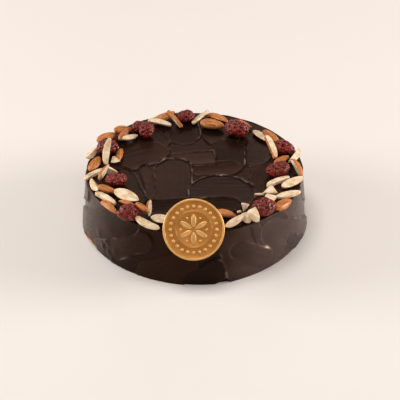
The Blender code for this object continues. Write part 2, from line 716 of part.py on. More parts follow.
def main():
    """Build the whole cake."""
    clear_scene()
    ganache = finish("dark_ganache", (0.030, 0.014, 0.009), 0.35)
    gold = finish("gold_chocolate", (0.42, 0.18, 0.05), 0.40)
    skin = finish("almond_skin", (0.45, 0.14, 0.04), 0.55)
    flesh = finish("almond_flesh", (0.82, 0.64, 0.40), 0.60)
    fruit = finish("dried_berry", (0.13, 0.012, 0.02), 0.45)
    cake = build_cake(ganache)
    medallion = build_medallion(gold)
    bpy.context.view_layer.update()
    build_toppings(cake, medallion, skin, flesh, fruit)


main()
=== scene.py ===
"""The looks of a chocolate cake: its ganache, medallion, almonds, berries and crumbs, and the studio.

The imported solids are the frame. The cake's axis is z, its base lies on z = 0 and its front is -Y.
Lengths are in metres; the tables of swipes and crumbs are in millimetres and degrees.
"""

import math
import random
from collections import namedtuple

import bmesh
import bpy
from mathutils import Matrix, Vector, noise
from mathutils.bvhtree import BVHTree


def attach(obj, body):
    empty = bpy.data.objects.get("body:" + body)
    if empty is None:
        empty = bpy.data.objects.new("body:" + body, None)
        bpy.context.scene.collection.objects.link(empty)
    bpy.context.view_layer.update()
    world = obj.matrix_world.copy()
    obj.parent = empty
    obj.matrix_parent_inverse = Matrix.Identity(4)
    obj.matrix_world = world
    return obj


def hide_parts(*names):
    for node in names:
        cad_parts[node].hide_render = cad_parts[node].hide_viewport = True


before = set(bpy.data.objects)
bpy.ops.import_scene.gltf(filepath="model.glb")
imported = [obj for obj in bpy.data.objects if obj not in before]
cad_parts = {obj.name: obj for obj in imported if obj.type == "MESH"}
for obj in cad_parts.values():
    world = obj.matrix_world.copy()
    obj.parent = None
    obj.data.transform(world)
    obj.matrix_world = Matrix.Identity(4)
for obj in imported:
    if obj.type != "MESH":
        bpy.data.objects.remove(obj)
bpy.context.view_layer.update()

MM = 0.001

# The cake, as in the solids
CAKE_HEIGHT = 0.049
BASE_RADIUS = 0.093
TOP_RADIUS = 0.091
RIM_ROUNDING = 0.0025
FLAT_RADIUS = TOP_RADIUS - RIM_ROUNDING
SIDE_TOP = CAKE_HEIGHT - RIM_ROUNDING
SIDE_LENGTH = 2 * math.pi * TOP_RADIUS

# The knife's marks, as in the solids, in millimetres
STROKE_EDGE = 0.9
LIP_WIDTH = 0.9
LIP_REACH = 4 * LIP_WIDTH
LIP_RUN = 7
SWIPE_HOLLOW = 0.3
RIPPLE_HEIGHT = 0.05
RIPPLE_LENGTH = 25
RIPPLE_WIDTH = 3
WANDER_BROAD = 1.3
WANDER_BROAD_LENGTH = 11
WANDER_CLOSE = 0.15
WANDER_CLOSE_LENGTH = 3.5
RIM_LIP = 0.5
RIM_LIP_RUN = 14
GROUND_HEIGHT = 0.35
GROUND_LENGTH = 30
SPONGE_RECESS = 0.8

# How finely the ganache is meshed here
TOP_GRID = 224
SIDE_ROWS = 44
RIM_ROWS = 6

# The medallion, as in the solids
MEDALLION_RADIUS = 0.0250
MEDALLION_THICKNESS = 0.0034
MEDALLION_LEAN = math.radians(55)
MEDALLION_ABOVE_RIM = 0.0036
MEDALLION_BED = 0.0015
MEDALLION_SIDEWAYS = -0.0010
BED_MARGIN = 0.002
GAP = 0.0003
# Its turned outline from the back's edge to the middle of the floor, as radii and heights
MEDALLION_OUTLINE = (
    (0.0250, 0.0),
    (0.0250, 0.0029),
    (0.0244, 0.0034),
    (0.0234, 0.0034),
    (0.0229, 0.0026),
    (0.0152, 0.0026),
    (0.0149, 0.0030),
    (0.0143, 0.0030),
    (0.0140, 0.0026),
)
MEDALLION_TURNS = 128
OUTLINE_ROUNDING = 0.00018
SHARPEST_CORNER = math.radians(20)
SHADED_SHARP = math.radians(50)
FLOOR_HEIGHT = 0.0026
BEAD_COUNT = 24
BEAD_RING_RADIUS = 0.0187
BEAD_RADIUS = 0.0015
BEAD_FLATNESS = 0.8
PETAL_COUNT = 6
PETAL_LENGTH = 0.0112
PETAL_WIDTH = 0.0046
PETAL_HEIGHT = 0.0012
PETAL_START = 0.0014
PETAL_GROOVE = 0.45
GROOVE_WIDTH = 0.22
PIP_RING_RADIUS = 0.0105
PIP_RADIUS = 0.0011
PIP_FLATNESS = 0.9
CAST_UNEVENNESS = 0.00006
CAST_LENGTH = 0.0035

# Almonds: the peeled ones are pale all over, and the others keep their brown skin outside the cuts
ALMOND_COUNT = 48
PEELED = {1, 4, 5, 6, 7, 9, 11, 12, 17, 18, 22, 24, 28, 34, 36, 38, 39, 40, 42, 43, 44, 45}
MERGE_DISTANCE = 1e-5
FLAT_ANGLE = math.radians(0.4)
CUT_FACE_CORNERS = 5
CUT_CREASE = 0.8
JOINING_ANGLE = math.radians(60)
ALMOND_LEVELS = 3
GRAIN_STEP = 7.3

# Berries
BERRY_COUNT = 10
BERRY_LEVELS = 4
GRAIN_HEIGHT = 0.0011
GRAIN_SPREAD = 0.95
GRAIN_SINK = 0.50
SHRIVEL = 0.45
SHRIVEL_LENGTH = 0.0035

# The camera, fitted to the photograph's rims and base
CAMERA_ELEVATION = math.radians(35.2)
CAMERA_DISTANCE = 1.902
CAMERA_TARGET = Vector((0.0, -0.0135, 0.0))
FOCAL_PIXELS = 2256
PICTURE_PIXELS = 400
TARGET_PIXEL = (194.85, 227.5)
SENSOR_WIDTH = 36.0

Stroke = namedtuple("Stroke", "start end half_width level tilt lip lip_angle square")
Dab = namedtuple("Dab", "along across radius height")
Crumb = namedtuple("Crumb", "x y yaw length width height")
Relief = namedtuple("Relief", "height ridge streak tone")
Layers = namedtuple("Layers", "ridge streak sponge bloom tone")


def swipe(start, end, half_width, level, tilt, lip, lip_angle, square=False):
    """One pull of the palette knife: where it runs, its level, its rise per centimetre and its lip."""
    return Stroke(start, end, half_width, level, tilt, lip, lip_angle, square)


# Swipes on the top, in x and y from the centre; the later ones lie over the earlier
TOP_STROKES = (
    swipe((-54, 62), (-36, 44), 15, 0.0, (0.2, 0.1), 0.6, 0),
    swipe((16, 76), (23, 50), 15, 0.1, (0.2, -0.3), 0.7, -60),
    swipe((-12, 76), (-10, 55), 15, 0.5, (-0.1, 0.2), 1.5, 0),
    swipe((58, 44), (50, 17), 12, 0.1, (-0.3, -0.2), 1.1, -50),
    swipe((60, -4), (56, -50), 14, 0.0, (-0.3, 0.2), 0.6, 180),
    swipe((27, 30), (26, 8.5), 15.5, 0.5, (0.3, 0.3), 1.3, -25),
    swipe((4, 2), (28, 3), 10.5, 0.4, (0.2, 0.3), 0.9, -90),
    swipe((-24, 15), (17, 18), 10.5, 0.7, (0.2, -0.3), 1.0, 20, True),
    swipe((-78, 3), (-37, 26), 16, 0.9, (0.1, 0.2), 0.9, -50),
    swipe((-64, -10), (-51, -48), 14, 0.0, (0.3, -0.2), 1.2, 10),
    swipe((-41, 2), (-33, -42), 5.5, 0.2, (-0.3, -0.2), 1.4, 5),
    swipe((-17, -62), (-18, 2), 15.5, 0.5, (0.2, -0.2), 1.8, 45),
    swipe((20, -34), (24, -34), 25.5, 0.7, (-0.2, -0.2), 1.5, None),
    swipe((-32, -56), (27, -52), 11.5, 0.3, (0.1, 0.3), 0.9, 70),
)

# Swipes on the side, in the run round it from the front and the height; the back follows a rule
SIDE_STROKES = (
    swipe((-34, 2), (-12, 15), 15, 1.0, (0.3, -0.3), 0.9, 10),
    swipe((2, 4), (16, 12), 11, 1.3, (0.4, -0.4), 1.0, 20),
    swipe((-172, 20), (-126, 44), 12, 0.2, (0.5, -0.3), 1.1, -60),
    swipe((-77, 10), (-43, 35), 8.5, 0.4, (0.7, -0.4), 1.6, -60),
    swipe((-128, 8), (-60, 48), 13, 0.4, (-0.15, -0.4), 1.3, -60),
    swipe((45, -8), (34, 38), 15.5, 0.5, (-0.6, -0.5), 1.5, 180),
    swipe((64, 48), (80, 36), 9, 0.2, (0.6, -0.5), 0.9, 200),
    swipe((132, 44), (160, 22), 13, 0.0, (0.5, -0.4), 1.0, 180),
    swipe((70, 33), (126, 0), 12, 0.4, (0.25, -0.4), 1.2, 60),
    swipe((92, 12), (112, -2), 6, 0.5, (0.3, -0.5), 1.0, 60),
    swipe((37, 27), (59, 13.5), 8.5, 0.6, (0.8, -0.3), 1.3, 20),
)
BACK_STROKE_COUNT = 8
BACK_START = 170
BACK_STEP = 30
BACK_SEED = 4

# Lumps of ganache low on the left of the side
SIDE_DABS = (
    Dab(-87, 10, 3.6, 1.1),
    Dab(-82, 16, 4.2, 1.2),
    Dab(-80, 7, 3.2, 1.0),
    Dab(-75, 4, 3.0, 0.8),
    Dab(-72, 12, 4.5, 0.6),
    Dab(-92, 20, 4.0, 0.7),
)

# Where the ganache stops short of the base and the sponge shows
SPONGE_FROM = -124
SPONGE_TO = -95
SPONGE_HEIGHT = 6.5
SPONGE_FADE = 8
SPONGE_EDGE = 1.2

# Where painted sheen pales the side's colour, in the run from the front; it starts nearer on the right than
# on the left, and on the left nearer at the top than at the base
PAINTED_SHEEN_FROM = 26
PAINTED_SHEEN_FULL = 85
PAINTED_SHEEN_SHIFT = 17
PAINTED_SHEEN_SLOPE = 22
PAINTED_SHEEN_DRIFT = 9.0

# Slivers of almond too small to be solids of their own
PALE_CRUMBS = (
    Crumb(75, 6, -12, 8, 3.0, 2.2),
    Crumb(53, -37, 0, 8, 2.2, 1.8),
    Crumb(36, -62, 30, 3.5, 2.5, 2.0),
    Crumb(41, -65, 110, 3.0, 2.2, 1.8),
    Crumb(-66, 33, 40, 3.4, 2.2, 1.6),
)
CRUMB_BEVEL = 0.28
CRUMB_RAISE = 0.45
CRUMB_RAGGED = 0.35
CRUMB_RAGGED_SCALE = 2.3
DROP_HEIGHT = 0.2

# The studio
FLOOR_SIZE = 4.0
LIGHT_AIM = Vector((0, 0, 0.03))


def smooth_step(low, high, value):
    """0 below low, 1 above high and a soft curve between."""
    share = min(max((value - low) / (high - low), 0.0), 1.0)
    return share * share * (3.0 - 2.0 * share)


def distance_outside(stroke, u, v):
    """How far a point lies outside a swipe's edge, and the point's place from its axis."""
    ax, ay = stroke.start
    bx, by = stroke.end
    dx = bx - ax
    dy = by - ay
    length = math.hypot(dx, dy)
    along = ((u - ax) * dx + (v - ay) * dy) / length
    across = ((v - ay) * dx - (u - ax) * dy) / length
    if stroke.square:
        past = max(along - length, -along)
        return max(past, abs(across) - stroke.half_width), along, across
    nearest = min(max(along, 0.0), length)
    return math.hypot(along - nearest, across) - stroke.half_width, along, across


def lip_share(stroke, u, v):
    """A swipe's lip is full on the side that the knife pushed to and low elsewhere, or full all round."""
    if stroke.lip_angle is None:
        return 1.0
    mid_u = (stroke.start[0] + stroke.end[0]) / 2
    mid_v = (stroke.start[1] + stroke.end[1]) / 2
    facing = math.atan2(v - mid_v, u - mid_u) - math.radians(stroke.lip_angle)
    return 0.15 + 0.85 * max(math.cos(facing), 0.0) ** 1.5


def drift_at(u, v, slice_height):
    """A broad drift and a close one at a point, in a slice of the noise of its own."""
    broad = Vector((u / WANDER_BROAD_LENGTH, v / WANDER_BROAD_LENGTH, slice_height))
    close = Vector((u / WANDER_CLOSE_LENGTH, v / WANDER_CLOSE_LENGTH, slice_height + 3.0))
    return WANDER_BROAD * noise.noise(broad) + WANDER_CLOSE * noise.noise(close)


def wandered(u, v):
    """A point moved a little, so that the edges of swipes run unevenly."""
    return u + drift_at(u, v, 3.0), v + drift_at(u, v, 23.0)


def swipe_level(stroke, u, v, along, across):
    """The height that a swipe leaves inside its edge: its level, tilt, hollow and fine ripples."""
    rise_u, rise_v = stroke.tilt
    away_u = u - (stroke.start[0] + stroke.end[0]) / 2
    away_v = v - (stroke.start[1] + stroke.end[1]) / 2
    hollow = SWIPE_HOLLOW * (across / stroke.half_width) ** 2
    place = Vector((along / RIPPLE_LENGTH, across / RIPPLE_WIDTH, stroke.level))
    ripple = RIPPLE_HEIGHT * noise.noise(place)
    return stroke.level + (rise_u * away_u + rise_v * away_v) / 10 + hollow + ripple


def swipe_tone(stroke):
    """How pale a swipe is, from 0 to 1, spread unevenly among them by a rule."""
    return 0.5 + 0.5 * math.sin(0.9 * stroke.start[0] + 1.3 * stroke.end[1])


def knife_relief(strokes, u, v, ground, period=0.0):
    """What overlapping swipes leave at a point: height in millimetres, lip, place in the swipe and tone."""
    height = ground
    ridge = 0.0
    tone = 0.5
    run, high = wandered(u, v)
    streak = Vector((u, v, 0.0))
    for stroke in strokes:
        place = run
        if period:
            place += period * round((stroke.start[0] - run) / period)
        outside, along, across = distance_outside(stroke, place, high)
        if outside > LIP_REACH:
            continue
        inside = 1.0 - smooth_step(-STROKE_EDGE, STROKE_EDGE, outside)
        height += (swipe_level(stroke, place, high, along, across) - height) * inside
        lip = stroke.lip * lip_share(stroke, place, high)
        lip *= max(0.6 + 1.1 * noise.noise(Vector((along / LIP_RUN, across / LIP_RUN, 9.0))), 0.0)
        crest = lip * math.exp(-((outside / LIP_WIDTH) ** 2))
        height += crest
        ridge = ridge * (1.0 - inside) + crest
        tone += (swipe_tone(stroke) - tone) * inside
        if inside > 0.5:
            streak = Vector((along, across, 20 * stroke.level))
    return Relief(height, ridge, streak, tone)


def back_strokes():
    """Swipes round the part of the side that lies behind, by a rule."""
    draw = random.Random(BACK_SEED)
    strokes = []
    for index in range(BACK_STROKE_COUNT):
        start = BACK_START + index * BACK_STEP
        low = draw.uniform(0, 14)
        high = low + draw.uniform(12, 34)
        rising = draw.random() < 0.5
        begin = (start, low if rising else high)
        end = (start + draw.uniform(20, 44), high if rising else low)
        tilt = (draw.uniform(-0.3, 0.3), draw.uniform(-0.6, 0.1))
        strokes.append(swipe(begin, end, draw.uniform(9, 14), draw.uniform(-0.1, 0.9), tilt,
                             draw.uniform(0.6, 1.2), draw.uniform(-60, 60)))
    return tuple(strokes)


def sponge_share(run, height):
    """1 where the sponge shows below the ganache's short edge, and 0 elsewhere."""
    begun = smooth_step(SPONGE_FROM, SPONGE_FROM + SPONGE_FADE, run)
    bare = begun - smooth_step(SPONGE_TO - SPONGE_FADE, SPONGE_TO, run)
    edge = bare * (SPONGE_HEIGHT + 2.0 * noise.noise(Vector((run / 5, 0.0, 1.0))))
    return bare * (1.0 - smooth_step(edge - SPONGE_EDGE, edge, height))


def painted_sheen_share(run, height):
    """How much painted sheen pales the side: none at the front, and more towards the left and right."""
    drift = PAINTED_SHEEN_DRIFT * noise.noise(Vector((run / 22, height / 14, 2.0)))
    if run > 0:
        shift = -PAINTED_SHEEN_SHIFT
    else:
        shift = PAINTED_SHEEN_SHIFT + PAINTED_SHEEN_SLOPE * (1.0 - height / (CAKE_HEIGHT / MM))
    return smooth_step(PAINTED_SHEEN_FROM, PAINTED_SHEEN_FULL, abs(run) + drift - shift)


def side_relief(strokes, run, height, ground):
    """Relief of the side in millimetres: swipes, lumps and the short edge at the base."""
    relief = knife_relief(strokes, run, height, ground, SIDE_LENGTH / MM)
    out = relief.height
    for dab in SIDE_DABS:
        away = math.hypot(run - dab.along, height - dab.across) / dab.radius
        out += dab.height * math.exp(-1.5 * away * away)
    return relief._replace(height=out - SPONGE_RECESS * sponge_share(run, height))


def square_to_disc(x, y):
    """Move a point of the square from -1 to 1 into the round of radius 1, evenly."""
    if abs(x) < 1e-9 and abs(y) < 1e-9:
        return 0.0, 0.0
    if abs(x) > abs(y):
        angle = math.pi / 4 * (y / x)
        return x * math.cos(angle), x * math.sin(angle)
    angle = math.pi / 2 - math.pi / 4 * (x / y)
    return y * math.cos(angle), y * math.sin(angle)


def side_profile():
    """Radius and height of each row of points from the top's flat down to the base."""
    rows = []
    for row in range(1, RIM_ROWS + 1):
        angle = math.pi / 2 * (1 - row / RIM_ROWS)
        rows.append((FLAT_RADIUS + RIM_ROUNDING * math.cos(angle),
                     SIDE_TOP + RIM_ROUNDING * math.sin(angle)))
    for row in range(1, SIDE_ROWS + 1):
        share = row / SIDE_ROWS
        rows.append((TOP_RADIUS + (BASE_RADIUS - TOP_RADIUS) * share, SIDE_TOP * (1 - share)))
    return rows


def medallion_frame():
    """The middle of the medallion's back, and the way that its face looks."""
    facing = Vector((0, -math.sin(MEDALLION_LEAN), math.cos(MEDALLION_LEAN)))
    upward = Vector((0, math.cos(MEDALLION_LEAN), math.sin(MEDALLION_LEAN)))
    rim = Vector((0, -FLAT_RADIUS, SIDE_TOP)) + facing * RIM_ROUNDING
    centre = rim - facing * MEDALLION_BED + upward * MEDALLION_ABOVE_RIM
    centre.x = MEDALLION_SIDEWAYS
    return centre, facing


def press_medallion_bed(point):
    """Keep the ganache a gap clear of the medallion's back where it is pressed in."""
    centre, facing = medallion_frame()
    away = point - centre
    off = away.dot(facing)
    depth = off + GAP
    sideways = (away - facing * off).length
    if depth <= 0 or sideways > MEDALLION_RADIUS + BED_MARGIN:
        return point
    return point - facing * depth


def shape_ganache(vert, strokes, layers):
    """Lay the ganache over a point of the plain cake, and note its marks for the material."""
    co = vert.co.copy()
    radius = math.hypot(co.x, co.y)
    out = 0.0
    up = 1.0
    if radius > FLAT_RADIUS + 1e-6:
        slope = math.atan2(max(co.z - SIDE_TOP, 0.0), radius - FLAT_RADIUS)
        out = math.cos(slope)
        up = math.sin(slope)
    ground = GROUND_HEIGHT * noise.noise(co / (GROUND_LENGTH * MM))
    run = math.atan2(co.x, -co.y) * TOP_RADIUS / MM
    relief = 0.0
    ridge = 0.0
    if up > 0.0:
        top = knife_relief(TOP_STROKES, co.x / MM, co.y / MM, ground)
        relief += up * up * top.height
        ridge += up * up * top.ridge
        vert[layers.streak] = top.streak
        vert[layers.tone] = top.tone
    if out > 0.0:
        side = side_relief(strokes, run, co.z / MM, ground)
        relief += out * out * side.height
        ridge += out * out * side.ridge
        if out > up:
            vert[layers.streak] = side.streak
            vert[layers.tone] = side.tone
            vert[layers.sponge] = sponge_share(run, co.z / MM)
            # Painted sheen: how far the side's colour is paled towards the left and right
            vert[layers.bloom] = painted_sheen_share(run, co.z / MM)
    rim_share = math.sin(2.0 * math.atan2(up, out)) if out > 0.0 else 0.0
    relief += RIM_LIP * rim_share * (0.6 + 0.8 * noise.noise(Vector((run / RIM_LIP_RUN, 5.0, 0.0))))
    vert[layers.ridge] = ridge
    radial = Vector((co.x, co.y, 0.0)).normalized()
    vert.co = press_medallion_bed(co + (radial * out + Vector((0, 0, up))) * relief * MM)
    if co.z < 1e-6:
        vert.co.z = 0.0


def build_ganache(material):
    """The whole cake's coat: a disc with a rounded rim, drawn down to a flat base, in relief."""
    bm = bmesh.new()
    layers = Layers(bm.verts.layers.float.new("ridge"), bm.verts.layers.float_vector.new("streak"),
                    bm.verts.layers.float.new("sponge"), bm.verts.layers.float.new("bloom"),
                    bm.verts.layers.float.new("tone"))
    bmesh.ops.create_grid(bm, x_segments=TOP_GRID, y_segments=TOP_GRID, size=1.0)
    for vert in bm.verts:
        x, y = square_to_disc(vert.co.x, vert.co.y)
        vert.co = Vector((x * FLAT_RADIUS, y * FLAT_RADIUS, CAKE_HEIGHT))
    ring = [edge for edge in bm.edges if edge.is_boundary]
    for radius, height in side_profile():
        made = bmesh.ops.extrude_edge_only(bm, edges=ring)["geom"]
        row = {item for item in made if isinstance(item, bmesh.types.BMVert)}
        ring = [item for item in made if isinstance(item, bmesh.types.BMEdge)
                and item.verts[0] in row and item.verts[1] in row]
        for vert in row:
            radial = Vector((vert.co.x, vert.co.y)).normalized() * radius
            vert.co = Vector((radial.x, radial.y, height))
    strokes = SIDE_STROKES + back_strokes()
    for vert in bm.verts:
        shape_ganache(vert, strokes, layers)
    bmesh.ops.holes_fill(bm, edges=ring, sides=0)
    bmesh.ops.recalc_face_normals(bm, faces=bm.faces)
    coat = add_piece("ganache_coat", bm, material)
    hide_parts("cake")
    return coat


def add_piece(name, bm, material):
    """Make a smooth piece of the cake from a bmesh, with its material and its place in the frame."""
    mesh = bpy.data.meshes.new(name)
    bm.to_mesh(mesh)
    bm.free()
    return add_mesh_piece(name, mesh, material)


def add_mesh_piece(name, mesh, material):
    """Link a mesh as a smooth piece that rides on the cake."""
    mesh.materials.clear()
    mesh.materials.append(material)
    mesh.shade_smooth()
    piece = bpy.data.objects.new(name, mesh)
    bpy.context.scene.collection.objects.link(piece)
    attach(piece, "root")
    return piece


def turned_disc(bm):
    """The medallion's body: its outline spun round, closed at the back and in the middle."""
    verts = [bm.verts.new((radius, 0.0, height)) for radius, height in MEDALLION_OUTLINE]
    edges = [bm.edges.new(pair) for pair in zip(verts, verts[1:])]
    bmesh.ops.spin(bm, geom=verts + edges, cent=(0, 0, 0), axis=(0, 0, 1), angle=2 * math.pi,
                   steps=MEDALLION_TURNS, use_merge=True)
    rings = [edge for edge in bm.edges if edge.is_boundary]
    bmesh.ops.holes_fill(bm, edges=rings, sides=0)
    bmesh.ops.recalc_face_normals(bm, faces=bm.faces)
    corners = [edge for edge in bm.edges if len(edge.link_faces) == 2
               and edge.calc_face_angle() > SHARPEST_CORNER]
    bmesh.ops.bevel(bm, geom=corners, offset=OUTLINE_ROUNDING, affect="EDGES", segments=2, profile=0.5,
                    material=-1)


def dome(bm, place, size, turn, groove=0.0):
    """One low rounded form of the medallion's ornament, half sunk in its floor, with a groove along it."""
    made = bmesh.ops.create_icosphere(bm, subdivisions=3, radius=1.0)["verts"]
    for vert in made:
        x, y, z = vert.co
        hollow = 1.0 - groove * math.exp(-((y / GROOVE_WIDTH) ** 2)) * (1.0 - x * x)
        vert.co = Vector((x * size[0], y * size[1], z * size[2] * hollow))
    bmesh.ops.rotate(bm, verts=made, cent=(0, 0, 0), matrix=Matrix.Rotation(turn, 3, "Z"))
    bmesh.ops.translate(bm, verts=made, vec=place)


def on_ring(radius, turn):
    """A place on the medallion's floor, by its radius and turn."""
    return Vector((radius * math.cos(turn), radius * math.sin(turn), FLOOR_HEIGHT))


def build_medallion(material):
    """The leaning medallion with its rim, ring, beads and six-petalled rosette."""
    bm = bmesh.new()
    turned_disc(bm)
    for index in range(BEAD_COUNT):
        turn = 2 * math.pi * index / BEAD_COUNT
        dome(bm, on_ring(BEAD_RING_RADIUS, turn),
             (BEAD_RADIUS, BEAD_RADIUS, BEAD_RADIUS * BEAD_FLATNESS), turn)
    for index in range(PETAL_COUNT):
        turn = 2 * math.pi * index / PETAL_COUNT + math.pi / 2
        dome(bm, on_ring(PETAL_LENGTH / 2 + PETAL_START, turn),
             (PETAL_LENGTH / 2, PETAL_WIDTH / 2, PETAL_HEIGHT), turn, PETAL_GROOVE)
        turn += math.pi / PETAL_COUNT
        dome(bm, on_ring(PIP_RING_RADIUS, turn), (PIP_RADIUS, PIP_RADIUS, PIP_RADIUS * PIP_FLATNESS), turn)
    raised = bm.verts.layers.float.new("raised")
    for vert in bm.verts:
        vert[raised] = smooth_step(FLOOR_HEIGHT - 0.0001, MEDALLION_THICKNESS, vert.co.z)
        vert.co.z += CAST_UNEVENNESS * noise.noise(vert.co / CAST_LENGTH)
    centre, _ = medallion_frame()
    place = Matrix.Translation(centre) @ Matrix.Rotation(MEDALLION_LEAN, 4, "X")
    bmesh.ops.transform(bm, matrix=place, verts=bm.verts)
    disc = add_piece("medallion_disc", bm, material)
    disc.data.set_sharp_from_angle(angle=SHADED_SHARP)
    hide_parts("medallion")


def merged_copy(name):
    """A bmesh copy of a solid, with its loose triangles joined."""
    bm = bmesh.new()
    bm.from_mesh(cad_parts[name].data)
    bmesh.ops.remove_doubles(bm, verts=bm.verts, dist=MERGE_DISTANCE)
    return bm


def long_frame(points):
    """The middle of some points and a turn whose x runs along their longest way."""
    middle = sum(points, Vector()) / len(points)
    tip = max(points, key=lambda point: (point - middle).length)
    tail = max(points, key=lambda point: (point - tip).length)
    return middle, (tip - tail).to_track_quat("X", "Z")


def local_places(points, middle, turn):
    """Points in millimetres in a piece's own frame."""
    back = turn.inverted()
    return [back @ (point - middle) / MM for point in points]


def span(points):
    """Lowest and highest value of some points on each axis."""
    return [(min(values), max(values)) for values in zip(*points)]


def mark_cuts(bm):
    """Find the flat cut faces, and crease the edges round them."""
    bmesh.ops.dissolve_limit(bm, angle_limit=FLAT_ANGLE, verts=bm.verts, edges=bm.edges)
    cut = bm.faces.layers.float.new("cut_face")
    crease = bm.edges.layers.float.new("crease_edge")
    for face in bm.faces:
        face[cut] = 1.0 if len(face.verts) >= CUT_FACE_CORNERS else 0.0
    for edge in bm.edges:
        marks = [face[cut] for face in edge.link_faces]
        if max(marks) > 0.5:
            edge[crease] = CUT_CREASE
    rough = [face for face in bm.faces if face[cut] < 0.5]
    bmesh.ops.join_triangles(bm, faces=rough, angle_face_threshold=JOINING_ANGLE,
                             angle_shape_threshold=JOINING_ANGLE)


def subdivided(bm, levels):
    """The bmesh after smooth subdivision, as a new bmesh."""
    mesh = bpy.data.meshes.new("rough")
    bm.to_mesh(mesh)
    bm.free()
    holder = bpy.data.objects.new("rough", mesh)
    bpy.context.scene.collection.objects.link(holder)
    smooth = holder.modifiers.new("smooth", "SUBSURF")
    smooth.levels = levels
    smooth.render_levels = levels
    bpy.context.view_layer.update()
    seen = holder.evaluated_get(bpy.context.evaluated_depsgraph_get())
    fine = bmesh.new()
    fine.from_mesh(seen.to_mesh())
    seen.to_mesh_clear()
    bpy.data.objects.remove(holder, do_unlink=True)
    bpy.data.meshes.remove(mesh)
    return fine


def build_almond(number, skin, flesh):
    """An almond or a piece of one: rounded skin with fine ridges along it, and uneven cut faces."""
    name = f"almond_{number:02d}"
    peeled = number in PEELED
    bm = merged_copy(name)
    middle, turn = long_frame([vert.co.copy() for vert in bm.verts])
    full = span(local_places([vert.co for vert in bm.verts], middle, turn))
    mark_cuts(bm)
    fine = subdivided(bm, ALMOND_LEVELS)
    places = local_places([vert.co for vert in fine.verts], middle, turn)
    shrunk = span(places)
    cut_face = fine.faces.layers.float["cut_face"]
    cut = fine.verts.layers.float.new("cut")
    grain = fine.verts.layers.float_vector.new("grain")
    fine.normal_update()
    shift = Vector((number * GRAIN_STEP, 0, 0))
    for vert, place in zip(fine.verts, places):
        marks = [face[cut_face] for face in vert.link_faces]
        vert[cut] = sum(marks) / len(marks)
        grown = Vector([low + (place[axis] - small_low) * (high - low) / (small_high - small_low)
                        for axis, ((low, high), (small_low, small_high)) in enumerate(zip(full, shrunk))])
        vert[grain] = grown + shift
        uneven = almond_unevenness(grown + shift, vert[cut], peeled)
        vert.co = middle + turn @ (grown * MM) + vert.normal * uneven
    piece = add_piece(f"nut_{number:02d}", fine, flesh if peeled else skin)
    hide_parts(name)


def almond_unevenness(place, cut, peeled):
    """How far the surface stands out or in at a place, in metres."""
    ridges = noise.noise(Vector((place.x / 8, place.y / 0.9, place.z / 0.9)))
    lumps = noise.noise(place / 3.5)
    rough = noise.noise(place / 0.9)
    skin = (0.03 if peeled else 0.09) * ridges + 0.10 * lumps
    face = 0.14 * lumps + 0.07 * rough
    return (skin + (face - skin) * cut) * MM


def build_berry(number, material):
    """A dried berry: the solid's form, with its points rounded into drupelets."""
    name = f"berry_{number:02d}"
    bm = merged_copy(name)
    peaks = [vert for vert in bm.verts if len(vert.link_edges) == 3]
    middles = [vert.co.copy() for vert in peaks]
    reach = [peak.link_edges[0].calc_length() for peak in peaks]
    bmesh.ops.dissolve_verts(bm, verts=peaks)
    for _ in range(BERRY_LEVELS):
        bmesh.ops.subdivide_edges(bm, edges=bm.edges, cuts=1, smooth=0.9, use_grid_fill=True)
    bmesh.ops.triangulate(bm, faces=bm.faces)
    top = bm.verts.layers.float.new("grain_top")
    bm.normal_update()
    width = sum(reach) / len(reach)
    for vert in bm.verts:
        near = min((vert.co - middle).length for middle in middles)
        share = max(1.0 - (near / (width * GRAIN_SPREAD)) ** 2, 0.0)
        vert[top] = share
        pull = SHRIVEL * noise.noise(vert.co / SHRIVEL_LENGTH)
        vert.co = vert.co + vert.normal * GRAIN_HEIGHT * (math.sqrt(share) - GRAIN_SINK + pull)
    piece = add_piece(f"fruit_{number:02d}", bm, material)
    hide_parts(name)


def build_crumbs(coat, material):
    """Slivers of almond that lie on the ganache."""
    ground = BVHTree.FromPolygons([vert.co for vert in coat.data.vertices],
                                  [face.vertices for face in coat.data.polygons])
    bm = bmesh.new()
    for crumb in PALE_CRUMBS:
        cube = bmesh.ops.create_cube(bm, size=1.0)["verts"]
        edges = [edge for edge in bm.edges if edge.verts[0] in cube]
        made = bmesh.ops.bevel(bm, geom=edges, offset=CRUMB_BEVEL, affect="EDGES", segments=2, profile=0.5,
                               material=-1)["verts"]
        above = Vector((crumb.x * MM, crumb.y * MM, DROP_HEIGHT))
        place, _, _, _ = ground.ray_cast(above, Vector((0, 0, -1)))
        rest = Matrix.Translation(place + Vector((0, 0, crumb.height * MM * CRUMB_RAISE)))
        size = Matrix.Diagonal((crumb.length * MM, crumb.width * MM, crumb.height * MM, 1.0))
        turn = Matrix.Rotation(math.radians(crumb.yaw), 4, "Z")
        for vert in made:
            cloud = noise.noise(vert.co * CRUMB_RAGGED_SCALE + Vector((crumb.x, crumb.y, 0)))
            vert.co = (rest @ turn @ size) @ (vert.co * (1.0 + CRUMB_RAGGED * cloud))
    grain = bm.verts.layers.float_vector.new("grain")
    for vert in bm.verts:
        vert[grain] = vert.co / MM
    bmesh.ops.recalc_face_normals(bm, faces=bm.faces)
    add_piece("almond_crumbs", bm, material)


def new_material(name):
    """An empty node material, its node tree and its main shader."""
    material = bpy.data.materials.new(name)
    material.use_nodes = True
    tree = material.node_tree
    return material, tree, tree.nodes["Principled BSDF"]


def object_place(tree):
    """The place on the cake, in metres."""
    return tree.nodes.new("ShaderNodeTexCoord").outputs["Object"]


def attribute(tree, name, output="Fac"):
    """A value or vector kept on the mesh."""
    reader = tree.nodes.new("ShaderNodeAttribute")
    reader.attribute_name = name
    return reader.outputs[output]


def stretched(tree, place, scale):
    """A place with each axis multiplied."""
    mapping = tree.nodes.new("ShaderNodeMapping")
    mapping.inputs["Scale"].default_value = scale
    tree.links.new(place, mapping.inputs["Vector"])
    return mapping.outputs["Vector"]


